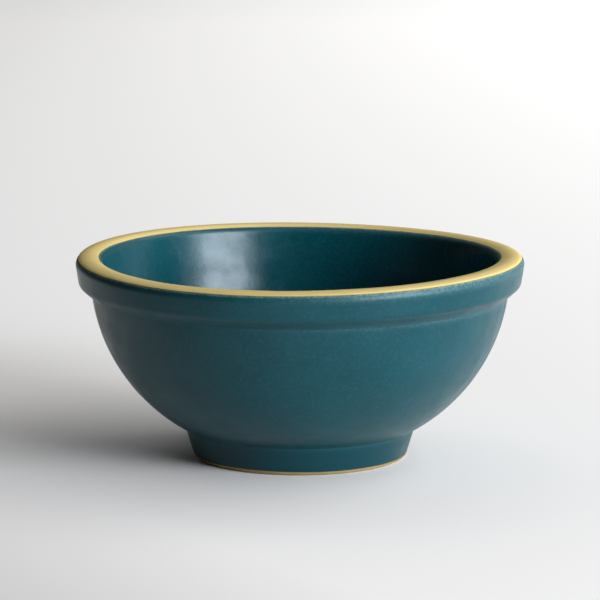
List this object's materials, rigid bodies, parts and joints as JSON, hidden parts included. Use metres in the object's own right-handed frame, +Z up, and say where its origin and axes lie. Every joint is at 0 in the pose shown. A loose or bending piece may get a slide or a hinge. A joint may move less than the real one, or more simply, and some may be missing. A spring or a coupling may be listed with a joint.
{
  "type": "cereal bowl",
  "caption": "Round stoneware cereal bowl with a heavy rim collar, a tapered foot ring, a deep curved inside and glaze inside and out, bare at rim and foot.",
  "frame": {"origin": "centre of the foot ring's flat underside, on the table", "axes": "+Z up along the bowl's axis of turning, out of its mouth; X and Y are interchangeable"},
  "size_m": [0.152, 0.152, 0.0694],
  "materials": {
    "bare_clay": "unglazed fired stoneware, tan, dry and fine grained",
    "teal_glaze": "dark teal satin glaze with a fine ripple"
  },
  "bodies": {
    "root": {"clay_body": "bare_clay", "inside_glaze": "teal_glaze", "outside_glaze": "teal_glaze", "recess_glaze": "teal_glaze"}
  },
  "joints": []
}
